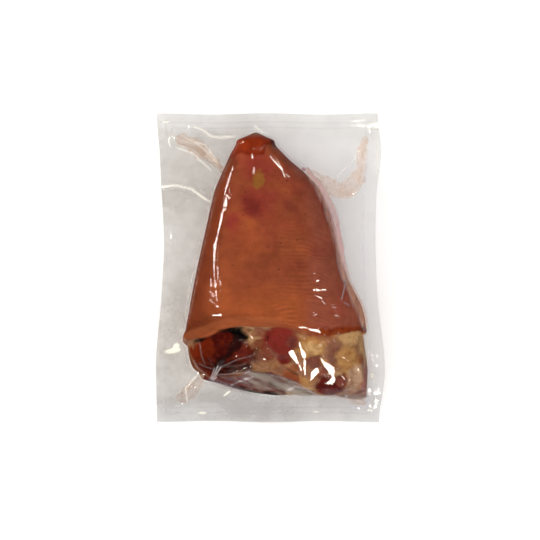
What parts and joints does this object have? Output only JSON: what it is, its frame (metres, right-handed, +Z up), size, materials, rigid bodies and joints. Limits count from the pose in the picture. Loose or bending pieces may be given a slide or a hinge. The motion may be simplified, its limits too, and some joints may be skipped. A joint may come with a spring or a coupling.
{
  "type": "vacuum-packed smoked pork knuckle",
  "caption": "Smoked pork knuckle, rind on, tapering from a slanted cut face to a rounded shank end, sealed tight in a clear film pouch with a flat margin all round.",
  "frame": {"origin": "on the floor under the middle of the pouch", "axes": "+Z up; +Y along the pouch, from the meat's cut end to its shank end; +X across the pouch"},
  "size_m": [0.184, 0.248, 0.0797],
  "materials": {
    "packed_meat": "smoked rind under glossy clear film",
    "knuckle": "moist smoked rind and cut meat",
    "film": "clear glossy film, faintly hazy",
    "juice": "thin meat juice held in folds of film"
  },
  "bodies": {
    "root": {"packed_knuckle": "packed_meat"}
  },
  "joints": []
}
